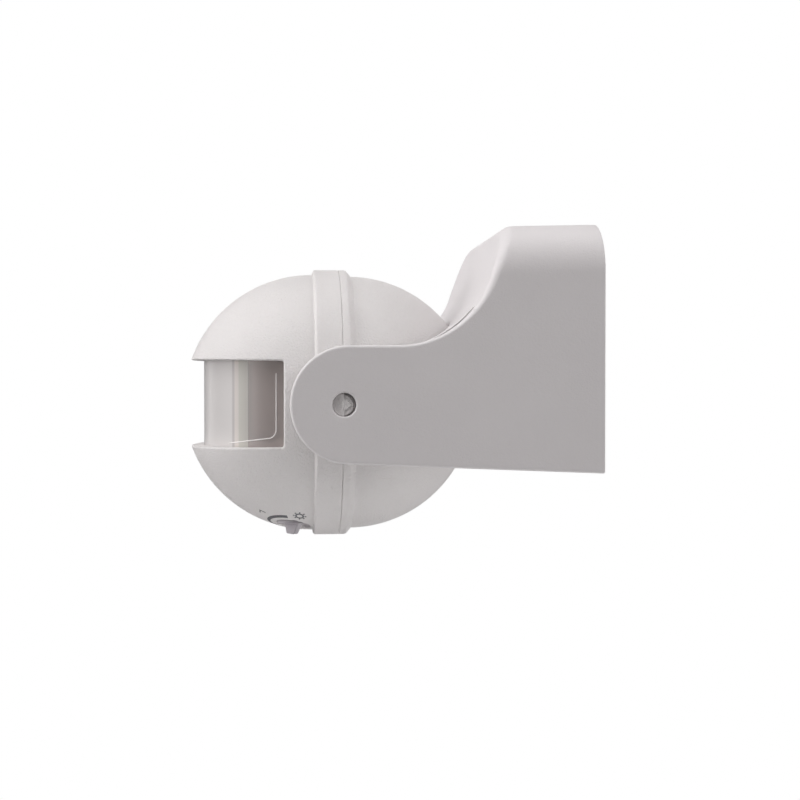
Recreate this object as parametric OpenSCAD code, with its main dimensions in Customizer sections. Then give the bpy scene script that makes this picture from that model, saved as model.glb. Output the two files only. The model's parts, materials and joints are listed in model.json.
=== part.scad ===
// Wall-mounted motion sensor: a ball-shaped detector head that tilts between the two
// arms of a box-shaped wall bracket, with two setting knobs under the head.
// Millimetres. X runs along the tilt axis, -Y is the front, +Y is the wall, +Z is up.
// The origin is the centre of the face that sits on the wall.

/* [Bracket] */
// Width across the two arms
bracket_w = 77.2; // [76.8:0.2:78]
// Height of the face that sits on the wall
wall_h = 61.6; // [61:0.2:62.4]
// Distance from the wall to the tilt axis
arm_reach = 63.2; // [62.2:0.2:64]
// Height of the wall face's centre above the tilt axis
pivot_drop = 14; // [13.8:0.1:14.2]
// Half height of the arms, which is also the radius of their round ends
arm_r = 14.2; // [14:0.1:14.6]
// Thickness of the arms
arm_t = 3.1; // [2.9:0.1:3.1]
// Thickness of the box walls
box_t = 2.4; // [2.2:0.1:2.6]
// Radius of the two top corners, seen from the front
top_r = 13; // [11:0.5:15]
// Radius of the hollow sweep that joins the arms to the upper front face
sweep_r = 23.1; // [22.6:0.1:23.6]
// Lean of the upper front face from the vertical, in degrees
front_lean = 18; // [17:0.5:19]
// Radius of the rounding between the front face and the top
brow_r = 2.5; // [2.4:0.1:3]
// Radius of the round hollow that the head turns in
cradle_r = 37.5; // [37.2:0.1:37.8]

/* [Head] */
// Radius of the front half of the ball
front_r = 33.7; // [33.5:0.1:33.8]
// Radius of the rear half of the ball
rear_r = 33.3; // [33:0.05:33.4]
// Radius of the collar around the joint between the two halves
collar_r = 35; // [34.9:0.05:35.1]
// Reach of the collar in front of the tilt axis
collar_front = 6.6; // [6.4:0.1:6.8]
// Reach of the collar behind the tilt axis
collar_rear = 3.1; // [3:0.1:3.2]
// Thickness of the ball shells
shell_t = 2.2; // [2:0.1:2.3]

/* [Lens] */
// Half height of the window slot at the rear end of the slot
slot_half = 10.5; // [10.3:0.1:10.7]
// Distance from the tilt axis forward to the slot's rear ends
slot_end = 14.3; // [14:0.1:14.6]
// Outside radius of the upright half-round lens
lens_r = 29.1; // [29:0.1:29.2]
// Thickness of the lens
lens_t = 0.75; // [0.7:0.05:0.8]

/* [Pivot] */
// Radius of the half-round pins that the head turns on
pin_r = 2.75; // [2.6:0.05:2.9]
// Radial clearance between the pins and the holes in the arms
pin_gap = 0.08; // [0.04:0.01:0.1]
// Distance of the pin's end below the arm's outer face
pin_recess = 0.9; // [0.6:0.1:1.2]

/* [Knobs] */
// Distance of each knob from the middle of the head
knob_x = 10; // [9.8:0.1:10.2]
// Distance of the knobs in front of the tilt axis
knob_y = 11.7; // [11.6:0.1:11.8]
// Radius of a knob's skirt
knob_r = 4.2; // [4:0.1:4.3]
// Depth of the knob's lowest point below the tilt axis
knob_foot = 33.9; // [33.6:0.1:34.2]

/* [Cable] */
// Radius of the sheathed cable between the head and the terminals
cable_r = 2.3; // [2.1:0.1:2.4]
// Angle below the horizontal at which the cable leaves the head
cable_dip = 4; // [3.5:0.5:4.5]
// Furthest upward look of the head, in degrees
tilt_up = 10; // [8:1:10]
// Furthest downward look of the head, in degrees
tilt_down = 30; // [26:1:31]

/* [Wall fixing] */
// Distance between the two wall screw holes
fix_pitch = 54; // [52:1:56]
// Radius of the wall screw holes
fix_r = 2.4; // [2:0.1:2.6]
// Thickness of the wall plate
plate_t = 2.4; // [2.2:0.1:2.6]
// Radius of the supply cable's hole through the grommet
entry_r = 3.5; // [3:0.1:4]

/* [Hidden] */
$fn = 96;

// Clearance between pieces that are assembled and stay put
fit = 0.1;
// Clearance around a screw's thread
thread_gap = 0.05;
// Overlap that joins two shapes of one piece
weld = 0.5;
// Reach of a cutting shape past what it cuts
past = 5;

half_w = bracket_w / 2;
arm_inner = half_w - arm_t;
wall_top = wall_h / 2 + pivot_drop;
wall_bottom = -wall_h / 2 + pivot_drop;
// Fall of the top face towards the front, as moulding draft, in degrees
top_draft = 1.6;
arm_c = 1.3;
sweep_c = [13, arm_r + sweep_r];

pcb_front = -7;
pcb_t = 1.6;
pcb_rear = pcb_front + pcb_t;
pcb_r = 29.3;
// The cable's sheath starts at this distance along its line, inside the head
sheath_start = 26;
lead_z = -sin(cable_dip) * sheath_start;
screw_spots = [for (x = [-23.9, 23.9], z = [-11.7, 11.7]) [x, z]];
// The front bosses run into the collar's wall, the rear ones stand clear of it
front_boss_r = 5.1;
rear_boss_r = 3.7;
post_z = 25.5;
boss_mouth = -2.6;
// Gap at the joint face between the two halves of the head
joint_gap = 0.05;
// The room under the collar is this much wider than the room in the ball on either side
collar_step = 0.3;
counterbore_floor = 14;
// The cable on the head ends at exit_end along its line; the fixed length goes on from tail_start
exit_end = 43;
tail_start = exit_end + 0.2;
tail_lead = 1;
tail_bend = 7;
tail_run = tail_start + tail_lead + tail_bend;
// Every lead and tube inside the bracket runs at this distance behind the tilt axis
cord_run = collar_rear + cos(cable_dip) * tail_run;
cord_z = -sin(cable_dip) * tail_run;
clamp_x = 12;
tail_x = clamp_x + 4;
clamp_pitch = 13;
pole_x = [-8, 0, 8];
block_low = 16;
block_h = 16;
block_mid = block_low + block_h / 2;
wall_fix_z = 8;
grommet_x = -20;
grommet_z = -10;
housing_screw_x = 24;
housing_screw_y = 8;
housing_screw_seat = -wall_h / 2 + 1.5;
hook_x = 18;
hook_w = 8;
slit_w = 0.9;
slit_end = 31.8;
// Thickness of the box's side walls
side_t = arm_t - 0.5;
pocket_floor = -29.8;
pin_end = half_w - pin_recess;
seat_r = lens_r + fit;
ledge_r = lens_r - 1.5;
seat_half = slot_half + 1.6;
ledge_half = slot_half + 2.5;
trimmer_top = -21;
trimmer_low = -26;

function top_at(y) = wall_top - (arm_reach - y) * tan(top_draft);
function lean_at(z, r) =
    let (foot = sweep_c + r * [cos(front_lean), -sin(front_lean)])
    [foot[0] + (z - foot[1]) * tan(front_lean), z];

// ---------- helpers ----------

// Puts a shape drawn around the tilt axis in its place in front of the wall
module at_pivot() translate([0, -arm_reach, -pivot_drop]) children();

// Gives a (Y, Z) outline a width along X, centred
module across(width) rotate([90, 0, 90]) linear_extrude(height = width, center = true) children();

// Gives an (X, Z) outline a depth from y0 to y1
module along_y(y0, y1)
    translate([0, y1, 0]) rotate([90, 0, 0]) linear_extrude(height = y1 - y0) children();

// A rod along Y from y0 to y1
module rod_y(r, y0, y1, x = 0, z = 0)
    translate([x, y0, z]) rotate([-90, 0, 0]) cylinder(r = r, h = y1 - y0);

// A rod along X from x0 to x1
module rod_x(r, x0, x1, y = 0, z = 0)
    translate([x0, y, z]) rotate([0, 90, 0]) cylinder(r = r, h = x1 - x0);

// A rod along Z from z0 to z1
module rod_z(r, z0, z1, x = 0, y = 0) translate([x, y, z0]) cylinder(r = r, h = z1 - z0);

// A box between two opposite corners
module box(low, high) translate(low) cube(high - low);

// A round wire with ball joints at its corners
module wire(path, r) {
    for (i = [0 : len(path) - 2]) {
        step = path[i + 1] - path[i];
        translate(path[i])
            rotate([0, acos(step[2] / norm(step)), atan2(step[1], step[0])])
                cylinder(r = r, h = norm(step), $fn = 32);
    }
    for (i = [1 : len(path) - 2]) translate(path[i]) sphere(r = r, $fn = 32);
}

// A pan-head screw along +Z whose head sits on z = 0; the head has a cross recess
module pan_screw(shank_r, length, head_r, head_h) {
    difference() {
        union() {
            translate([0, 0, -length]) cylinder(r = shank_r, h = length + weld);
            cylinder(r = head_r, h = head_h);
        }
        for (turn = [0, 90])
            rotate([0, 0, turn])
                box(
                    [-head_r * 0.6, -head_r * 0.12, head_h * 0.4],
                    [head_r * 0.6, head_r * 0.12, head_h + past]
                );
    }
}

// ---------- bracket ----------

// Points along an arc from angle a0 to a1
function arc(centre, r, a0, a1, steps) =
    [for (i = [0 : steps]) let (a = a0 + (a1 - a0) * i / steps) centre + r * [cos(a), sin(a)]];

// Outline of the bracket seen from the side, drawn around the tilt axis
module side_profile(inset) {
    r = sweep_r + inset;
    foot = lean_at(sweep_c[1] - r * sin(front_lean), r);
    brow_z = top_at(lean_at(wall_top, sweep_r)[0] + brow_r) - brow_r;
    brow_c = [lean_at(brow_z, sweep_r)[0] + brow_r / cos(front_lean), brow_z];
    difference() {
        polygon([
            each arc([arm_c, 0], arm_r - inset, 270, 90, 36),
            [sweep_c[0], arm_r - inset],
            foot,
            each arc(brow_c, brow_r - inset, 180 - front_lean, 90 + top_draft, 6),
            [arm_reach, wall_top - inset],
            [arm_reach, wall_bottom + inset]
        ]);
        translate(sweep_c) circle(r = r);
    }
}

// Outline of the bracket seen from the front, drawn around the wall face's centre
module front_outline(inset) {
    w = half_w - inset;
    top = wall_h / 2 - inset;
    low = -wall_h / 2 + inset;
    r = top_r - inset;
    translate([-w, low]) square([2 * w, top - r - low]);
    translate([-w + r, low]) square([2 * (w - r), top - low]);
    for (side = [-1, 1]) translate([side * (w - r), top - r]) circle(r = r);
}

module bracket_housing() color([0.9, 0.89, 0.88]) {
    difference() {
        intersection() {
            at_pivot() across(bracket_w) side_profile(0);
            along_y(-arm_reach - arm_r, 0) front_outline(0);
        }
        // Gap between the arms, ending in the hollow that the head turns in
        at_pivot()
            intersection() {
                sphere(r = cradle_r);
                cube([2 * arm_inner, 4 * cradle_r, 4 * cradle_r], center = true);
            }
        // Box cavity behind the hollow
        difference() {
            intersection() {
                at_pivot() across(bracket_w) side_profile(box_t);
                along_y(-arm_reach, past) front_outline(side_t);
            }
            at_pivot() sphere(r = cradle_r + box_t);
        }
        // Open back, square to the wall
        along_y(-plate_t - fit, past) front_outline(side_t);
        // Pivot holes
        at_pivot() rod_x(pin_r + pin_gap, -half_w - past, half_w + past);
        // Upright slot that lets the cable swing with the head
        at_pivot() cable_slot();
        // Slits that free the arms from the cup, so that they can spread over the pins
        for (side = [0, 1])
            at_pivot() mirror([side, 0, 0])
                box([arm_inner - slit_w, 0, -cradle_r], [arm_inner, slit_end, cradle_r]);
        // Screw seats in the underside
        for (side = [-1, 1]) {
            rod_z(1.6, -wall_h / 2 - past, -wall_h / 2 + past, side * housing_screw_x, -housing_screw_y);
            rod_z(3.1, -wall_h / 2 - past, housing_screw_seat, side * housing_screw_x, -housing_screw_y);
        }
        // Catches for the wall plate's hooks
        for (side = [-1, 1])
            translate([side * hook_x, 0, wall_h / 2 - box_t])
                box([-hook_w / 2 - 0.4, -7, -1], [hook_w / 2 + 0.4, -4.4, 0.9]);
    }
}

// The cable's swing, as a sector that runs out through the cradle wall
module cable_slot() {
    slot_w = 2 * cable_r + 1.4;
    margin = 4.5;
    low = -cable_dip - tilt_up - margin;
    high = -cable_dip + tilt_down + margin;
    reach = cradle_r + box_t + 1;
    across(slot_w)
        polygon([
            [0, 0],
            for (a = [low, (low + high) / 2, high]) reach * [cos(a), sin(a)]
        ]);
}

module wall_plate() color([0.82, 0.81, 0.8]) {
    base = -plate_t;
    difference() {
        union() {
            along_y(-plate_t, 0) front_outline(side_t + 0.15);
            // Hooks that catch the housing's top wall
            for (side = [-1, 1]) translate([side * hook_x, 0, wall_h / 2 - box_t]) {
                box([-hook_w / 2, -6.8, -3.2], [hook_w / 2, base + weld, -1.2]);
                box([-hook_w / 2, -6.8, -3.2], [hook_w / 2, -4.8, 0.6]);
            }
            // Bosses for the screws that hold the housing
            for (side = [-1, 1])
                box(
                    [side * housing_screw_x - 4.5, -13, -wall_h / 2 + box_t + 1],
                    [side * housing_screw_x + 4.5, base + weld, -wall_h / 2 + box_t + 8]
                );
            // Saddle under the cord clamp
            translate([clamp_x, 0, cord_z - pivot_drop])
                box([-3, cord_run - arm_reach + fit, -9], [3, base + weld, 9]);
            // Feet under the terminal block
            for (z = [block_low + 1, block_low + block_h - 3])
                box([-11, cord_run - arm_reach + 4.6, z - pivot_drop], [11, base + weld, z - pivot_drop + 2]);
        }
        for (side = [-1, 1]) {
            rod_y(fix_r, -past - plate_t, past, side * fix_pitch / 2, wall_fix_z);
            translate([side * housing_screw_x, -housing_screw_y, 0])
                rod_z(1.5 + thread_gap, -wall_h / 2, -wall_h / 2 + box_t + 7.5);
            rod_y(1.25 + thread_gap, -15, -1.2, clamp_x, cord_z - pivot_drop + side * clamp_pitch / 2);
        }
        // Channel for the cable in the saddle
        at_pivot() rod_x(cable_r + thread_gap, clamp_x - past, clamp_x + past, cord_run, cord_z);
        // Hole for the grommet
        rod_y(6 + thread_gap, -past, past, grommet_x, grommet_z);
        // Groove for the gasket
        difference() {
            along_y(-1.2, past) front_outline(side_t + 1.4);
            along_y(-past, 2 * past) front_outline(side_t + 3);
        }
        // Holes for the block's screws
        for (x = [-4, 4]) rod_y(1 + thread_gap, -past - plate_t, -0.8, x, block_mid - pivot_drop);
    }
}

module plate_gasket() color([0.2, 0.2, 0.2]) {
    difference() {
        along_y(-1.15, 0) front_outline(side_t + 1.45);
        along_y(-past, past) front_outline(side_t + 2.95);
    }
}

module cable_grommet() color([0.15, 0.15, 0.15])
    translate([grommet_x, 0, grommet_z])
        difference() {
            union() {
                rod_y(6, -plate_t - 0.05, 0);
                rod_y(7.5, -plate_t - 1.3, -plate_t - 0.05);
                rod_y(5, -plate_t - 3.5, -plate_t - 1.3);
            }
            rod_y(entry_r, -plate_t - past, past);
        }

module housing_screws() color([0.75, 0.75, 0.76])
    for (side = [-1, 1])
        translate([side * housing_screw_x, -housing_screw_y, housing_screw_seat - fit / 2])
            rotate([180, 0, 0]) pan_screw(1.5, 8, 2.9, 1.3);

module terminal_block() color([0.93, 0.92, 0.88]) at_pivot()
    difference() {
        box([-12, cord_run - 5, block_low], [12, cord_run + 4.5, block_low + block_h]);
        for (x = pole_x) {
            rod_z(2.3, block_low - past, block_low + block_h + past, x, cord_run);
            for (z = [-4, 4]) rod_y(2, cord_run - 2 * past, cord_run, x, block_mid + z);
        }
        for (x = [-4, 4]) {
            rod_y(1.2, cord_run - 2 * past, cord_run + 2 * past, x, block_mid);
            rod_y(1.7, cord_run - 2 * past, cord_run - 2.5, x, block_mid);
        }
        // Notches between the poles
        for (x = [-4, 4], low = [block_low - 1, block_low + block_h - 2])
            box([x - 0.6, cord_run - 2 * past, low], [x + 0.6, cord_run + 2 * past, low + 3]);
    }

module terminal_tubes() color([0.8, 0.65, 0.3]) at_pivot()
    for (x = pole_x)
        difference() {
            rod_z(2.25, block_low + 0.8, block_low + block_h - 0.8, x, cord_run);
            rod_z(1.45, block_low - past, block_low + block_h + past, x, cord_run);
            for (z = [-4, 4]) rod_y(1.25, cord_run - past, cord_run, x, block_mid + z);
        }

module terminal_screws() color([0.8, 0.8, 0.8]) at_pivot()
    for (x = pole_x, z = [-4, 4])
        translate([x, cord_run - 3.2, block_mid + z])
            rotate([90, 0, 0])
                difference() {
                    union() {
                        translate([0, 0, -2.2]) cylinder(r = 1.2, h = 2.2 + weld);
                        cylinder(r = 1.8, h = 1.4);
                    }
                    box([-2, -0.25, 0.7], [2, 0.25, 2]);
                }

module block_screws() color([0.75, 0.75, 0.76]) at_pivot()
    for (x = [-4, 4])
        translate([x, cord_run - 2.55, block_mid]) rotate([90, 0, 0]) pan_screw(1, 9, 1.6, 1.2);

module cord_clamp() color([0.93, 0.92, 0.9]) at_pivot()
    difference() {
        box([clamp_x - 3, cord_run - 4.2, cord_z - 9], [clamp_x + 3, cord_run, cord_z + 9]);
        rod_x(cable_r + thread_gap, clamp_x - past, clamp_x + past, cord_run, cord_z);
        for (side = [-1, 1])
            translate([clamp_x, cord_run, cord_z + side * clamp_pitch / 2])
                rod_y(1.25 + thread_gap, -past, past);
    }

module clamp_screws() color([0.75, 0.75, 0.76]) at_pivot()
    for (side = [-1, 1])
        translate([clamp_x, cord_run - 4.25, cord_z + side * clamp_pitch / 2])
            rotate([90, 0, 0]) pan_screw(1.25, 9, 2.4, 1.5);

// Local frame of the cable where it leaves the head: +Y runs outwards along the cable
module at_exit() translate([0, collar_rear, 0]) rotate([-cable_dip, 0, 0]) children();

// The fixed length of cable in the bracket: a quarter bend, then a straight run through the clamp
module cable_tail() color([0.3, 0.3, 0.3]) at_pivot() {
    at_exit() {
        rod_y(cable_r, tail_start, tail_start + tail_lead + weld / 5);
        translate([tail_bend, tail_start + tail_lead, 0])
            rotate([0, 0, 90])
                rotate_extrude(angle = 90) translate([tail_bend, 0]) circle(r = cable_r);
        rod_x(cable_r, tail_bend - weld / 10, tail_x, tail_run);
    }
}

// Three insulated leads from the cable's end up to the terminals, laid side by side
module terminal_leads() color([0.5, 0.3, 0.2]) at_pivot()
    for (i = [0 : 2]) {
        start_z = cord_z + (1 - i) * 1.35;
        riser_x = tail_x + 3 + i * 2;
        shelf_z = 8 + i * 2.5;
        wire(
            [
                [tail_x + fit, cord_run, start_z],
                [riser_x, cord_run, start_z],
                [riser_x, cord_run, shelf_z],
                [pole_x[i], cord_run, shelf_z],
                [pole_x[i], cord_run, block_low + 4]
            ],
            0.6
        );
    }

// ---------- head ----------

// Turns an outline in (radius, Y) about the Y axis
module turned_y() rotate([-90, 0, 0]) rotate_extrude() children();

// Outline of the front half of the head: a quarter disc and the collar
module front_outer() {
    intersection() {
        translate([0, -collar_front]) circle(r = front_r);
        translate([0, -60]) square([60, 60 - collar_front]);
    }
    bevel = 0.7;
    polygon([
        [0, -collar_front - weld], [collar_r - 1.6, -collar_front - weld], [collar_r - 1.6, -collar_front],
        [collar_r - bevel, -collar_front], [collar_r, -collar_front + bevel], [collar_r, 0], [0, 0]
    ]);
}

// Outline of the room inside the front half, running out past the joint face
module front_inner() {
    r = front_r - shell_t;
    intersection() {
        translate([0, -collar_front]) circle(r = r);
        translate([0, -60]) square([60, 60 - collar_front]);
    }
    translate([0, -collar_front]) square([r + collar_step, collar_front + past]);
}

// Outline of the rear half of the head: a quarter disc and the collar with its wide rear bevel
module rear_outer() {
    intersection() {
        translate([0, collar_rear]) circle(r = rear_r);
        translate([0, collar_rear]) square([60, 60]);
    }
    polygon([
        [0, joint_gap], [collar_r, joint_gap], [collar_r, collar_rear - 1.2],
        [rear_r + 0.6, collar_rear], [rear_r - 1, collar_rear],
        [rear_r - 1, collar_rear + weld], [0, collar_rear + weld]
    ]);
}

// Outline of the room inside the rear half, running out past the joint face
module rear_inner() {
    r = rear_r - shell_t;
    intersection() {
        translate([0, collar_rear]) circle(r = r);
        translate([0, collar_rear]) square([60, 60]);
    }
    translate([0, -past]) square([r + collar_step, collar_rear + past]);
}

// Half of a pivot pin with its thrust face, on the front (-1) or rear (+1) side of the joint
module half_pins(half) {
    boss_r = 5.4;
    thrust_gap = 0.08;
    root = 32;
    ramp = 14;
    for (side = [0, 1])
        mirror([side, 0, 0])
            difference() {
                union() {
                    rod_x(boss_r, root, arm_inner - thrust_gap);
                    rod_x(pin_r, root, pin_end);
                }
                // The other half of the head has the rest of the pin
                box(
                    [root - 1, half < 0 ? 0 : -2 * past, -2 * past],
                    [half_w, half < 0 ? 2 * past : joint_gap, 2 * past]
                );
                // The front half of each pin is cut to a ramp that spreads the arms
                if (half < 0)
                    translate([pin_end, 0, 0]) rotate([0, 0, -ramp]) box([0, -past, -past], [past, 0, past]);
            }
}
// What stands inside the front half: the lens surround, bosses, posts and knob floors
module front_inside() {
    box([-50, -50, -ledge_half], [50, -slot_end + 2, ledge_half]);
    for (s = screw_spots) rod_y(front_boss_r, -12.4, boss_mouth, s[0], s[1]);
    for (z = [-post_z, post_z]) rod_y(3, -40, pcb_front - fit / 2, 0, z);
    for (x = [-knob_x, knob_x]) rod_z(5.6, -40, trimmer_low - 0.15, x, -knob_y);
}

module front_shell() color([0.93, 0.92, 0.91]) at_pivot() {
    difference() {
        union() {
            turned_y() front_outer();
            half_pins(-1);
        }
        difference() {
            turned_y() front_inner();
            front_inside();
        }
        // Window slot, flaring a little to the front
        across(100)
            polygon([
                [-50, -slot_half - 0.9], [-slot_end, -slot_half],
                [-slot_end, slot_half], [-50, slot_half + 0.9]
            ]);
        // Seat for the lens, and the way through behind it
        intersection() {
            union() {
                rod_z(seat_r, -seat_half, seat_half, 0, -collar_front);
                rod_z(ledge_r, -ledge_half - 0.5, ledge_half + 0.5, 0, -collar_front);
            }
            box([-50, -50, -50], [50, -slot_end + 2.5, 50]);
        }
        for (s = screw_spots) rod_y(1.5 + thread_gap, -11.5, past, s[0], s[1]);
        for (z = [-post_z, post_z]) rod_y(1.25 + thread_gap, -17, past, 0, z);
        for (x = [-knob_x, knob_x]) {
            rod_z(knob_r + 0.4, -40, pocket_floor, x, -knob_y);
            rod_z(1.6, -40, -20, x, -knob_y);
            rod_z(2.7, trimmer_low - 1, trimmer_low + 1, x, -knob_y);
        }
        // Groove for the seal in the joint face
        difference() {
            rod_y(33.95, -1, past);
            rod_y(32.65, -past, 2 * past);
        }
    }
}

module rear_shell() color([0.93, 0.92, 0.91]) at_pivot() {
    difference() {
        union() {
            difference() {
                union() {
                    turned_y() rear_outer();
                    half_pins(1);
                }
                difference() {
                    turned_y() rear_inner();
                    // Bosses for the screws that join the shells
                    for (s = screw_spots) rod_y(rear_boss_r, joint_gap, 40, s[0], s[1]);
                }
            }
            // Spigot that centres this shell in the front one
            difference() {
                rod_y(front_r - shell_t + 0.15, boss_mouth + fit, 1.5);
                rod_y(front_r - shell_t - 1.4, -past, past);
            }
            for (s = screw_spots) rod_y(rear_boss_r, boss_mouth + fit, 1, s[0], s[1]);
        }
        for (s = screw_spots) {
            rod_y(1.6, -past, 40, s[0], s[1]);
            rod_y(3, counterbore_floor, 40, s[0], s[1]);
        }
        // Seat for the cable bush
        at_exit() {
            rod_y(3.6, 20, 40);
            rod_y(5.1, rear_r - 0.55, 40);
        }
    }
}

module shell_seal() color([0.15, 0.15, 0.15]) at_pivot()
    difference() {
        rod_y(33.9, -0.95, 0);
        rod_y(32.7, -past, past);
    }

module shell_screws() color([0.75, 0.75, 0.76]) at_pivot()
    for (s = screw_spots)
        translate([s[0], counterbore_floor + fit / 2, s[1]])
            rotate([-90, 0, 0]) pan_screw(1.5, 24, 2.8, 1.8);

// An upright half-round sheet in the window, from radius r0 to r1
module half_sheet(r0, r1, half_h, back)
    intersection() {
        difference() {
            rod_z(r1, -half_h, half_h, 0, -collar_front);
            rod_z(r0, -half_h - past, half_h + past, 0, -collar_front);
        }
        box([-50, -50, -50], [50, back, 50]);
    }

module lens() color([0.85, 0.87, 0.88, 0.6]) at_pivot()
    half_sheet(lens_r - lens_t, lens_r, seat_half - fit, -slot_end + 1.6);

// Frame behind the lens, open except for a rim
module lens_frame() color([0.9, 0.9, 0.9]) at_pivot()
    difference() {
        half_sheet(lens_r - lens_t - 1.1, lens_r - lens_t - fit / 2, seat_half - fit, -slot_end + 1.6);
        box([-50, -50, -slot_half + 1.2], [50, -slot_end - 1.2, slot_half - 1.2]);
    }

module main_pcb() color([0.15, 0.4, 0.2]) at_pivot()
    difference() {
        rod_y(pcb_r, pcb_front, pcb_rear);
        for (s = screw_spots) rod_y(front_boss_r + 0.4, -2 * past, past, s[0], s[1]);
        for (z = [-post_z, post_z]) rod_y(1.6, -2 * past, past, 0, z);
        for (x = [-1.35, 0, 1.35]) rod_y(0.5, -2 * past, past, x, lead_z);
        // Notches for the walls around the knob pockets
        for (x = [-knob_x, knob_x])
            box([x - 6, -2 * past, -pcb_r - 1], [x + 6, past, trimmer_low + 0.1]);
    }

module pcb_screws() color([0.75, 0.75, 0.76]) at_pivot()
    for (z = [-post_z, post_z])
        translate([0, pcb_rear + fit / 2, z]) rotate([-90, 0, 0]) pan_screw(1.25, 9, 2.5, 1.5);

module pir_sensor() color([0.7, 0.7, 0.68]) at_pivot()
    difference() {
        union() {
            rod_y(4.1, -12.4, -8.4);
            rod_y(4.6, -8.9, -8.4);
            for (turn = [0, 120, 240])
                rotate([0, turn, 0]) rod_y(0.25, -8.5, pcb_front - fit / 2, 2.4);
        }
        box([-2.1, -13, -1.6], [2.1, -12.1, 1.6]);
    }

module pir_window() color([0.2, 0.15, 0.15]) at_pivot() box([-2.05, -12.35, -1.55], [2.05, -12.12, 1.55]);

module pir_holder() color([0.95, 0.95, 0.94]) at_pivot()
    difference() {
        rod_y(6.4, -11, pcb_front - fit / 2);
        rod_y(4.7, -20, 0);
        for (turn = [0, 90]) rotate([0, turn, 0]) box([-10, -20, -1], [10, -10.2, 1]);
    }

module light_sensor() color([0.75, 0.5, 0.3]) at_pivot() {
    rod_y(2.5, -9.4, -7.6, 10, 7);
    for (x = [8.8, 11.2]) rod_y(0.25, -7.7, pcb_front - fit / 2, x, 7);
}

module status_led() color([0.8, 0.2, 0.2]) at_pivot() {
    rod_y(1.5, -10.8, -7.6, -10, -6);
    translate([-10, -10.8, -6]) sphere(r = 1.5);
    rod_y(1.9, -8.2, -7.5, -10, -6);
    for (x = [-10.8, -9.2]) rod_y(0.25, -7.7, pcb_front - fit / 2, x, -6);
}

module relay() color([0.2, 0.35, 0.6]) at_pivot()
    box([-18.6, pcb_rear + fit, 4], [-0.6, pcb_rear + 15.4, 19]);

module film_capacitor() color([0.75, 0.3, 0.2]) at_pivot()
    box([2, pcb_rear + fit, 6], [18, pcb_rear + 13, 16]);

module electrolytic_capacitors() color([0.15, 0.15, 0.2]) at_pivot()
    for (x = [-9, 9], step = [0, 1])
        rod_y(step == 0 ? 4 : 3.6, pcb_rear + fit + step * 10.8, pcb_rear + fit + 11 + step * 0.2, x, -9);

module varistor() color([0.2, 0.4, 0.7]) at_pivot() rod_x(4.6, -20, -16.4, pcb_rear + 5, -4.6);

module fuse_resistor() color([0.5, 0.7, 0.6]) at_pivot() {
    rod_x(1.9, -14, -4, pcb_rear + 2.2, -17);
    for (x = [-15.2, -2.8]) rod_y(0.35, pcb_rear + fit / 2, pcb_rear + 2.55, x, -17);
    rod_x(0.35, -15.2, -2.8, pcb_rear + 2.2, -17);
}

module rectifier_diodes() color([0.12, 0.12, 0.12]) at_pivot()
    for (i = [0 : 3]) {
        x = 3.5 + i * 3.8;
        rod_z(1.3, -20.5, -15.5, x, pcb_rear + 1.6);
        rod_z(0.35, -22, -14, x, pcb_rear + 1.6);
        for (z = [-21.7, -14.3]) rod_y(0.35, pcb_rear + fit / 2, pcb_rear + 1.95, x, z);
    }

module resistors() color([0.8, 0.7, 0.5]) at_pivot()
    for (i = [0 : 5]) {
        x = -15 + i * 6;
        rod_z(1.1, 16.5, 21.5, x, pcb_front - 1.4);
        rod_z(0.3, 15, 23, x, pcb_front - 1.4);
        for (z = [15.3, 22.7]) rod_y(0.3, pcb_front - 1.7, pcb_front - fit / 2, x, z);
    }

module control_ic() color([0.12, 0.12, 0.13]) at_pivot() {
    box([-5, pcb_front - 2.2, -18.5], [5, pcb_front - 0.6, -12.5]);
    for (i = [0 : 6], z = [-19.4, -12.5])
        box([-4.3 + i * 1.3, pcb_front - 1.5, z], [-3.8 + i * 1.3, pcb_front - fit / 2, z + 0.9]);
}

// A square trimmer whose bore holds the knob's shaft, with two legs back to the board
module trimmer(x) {
    difference() {
        box([x - 4, -knob_y - 4, trimmer_low], [x + 4, -knob_y + 4, trimmer_top]);
        rod_z(1.5 + pin_gap, trimmer_low - 1, trimmer_top + 1, x, -knob_y);
    }
    for (dx = [-2.5, 2.5]) rod_y(0.4, -knob_y + 3.5, pcb_front - fit / 2, x + dx, trimmer_low + 2.5);
}

module lux_trimmer() color([0.85, 0.8, 0.6]) at_pivot() trimmer(knob_x);

module time_trimmer() color([0.85, 0.8, 0.6]) at_pivot() trimmer(-knob_x);

module knob_seals() color([0.15, 0.15, 0.15]) at_pivot()
    for (x = [-knob_x, knob_x])
        difference() {
            rod_z(2.6, trimmer_low - 0.95, trimmer_low - 0.1, x, -knob_y);
            rod_z(1.5 + pin_gap, -40, 0, x, -knob_y);
        }

module cable_bush() color([0.2, 0.2, 0.2]) at_pivot() at_exit()
    difference() {
        union() {
            rod_y(5, rear_r - 0.5, rear_r + 0.4);
            rod_y(3.5, rear_r - 3, rear_r);
            rod_y(4.6, rear_r - 3.7, rear_r - 2.7);
        }
        rod_y(cable_r + thread_gap, 0, 50);
    }

module head_cable() color([0.3, 0.3, 0.3]) at_pivot() at_exit() rod_y(cable_r, sheath_start, exit_end);

module head_leads() color([0.5, 0.3, 0.2]) at_pivot()
    for (x = [-1.35, 0, 1.35])
        rod_y(0.45, pcb_front, collar_rear + cos(cable_dip) * sheath_start - 0.4, x, lead_z);

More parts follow.
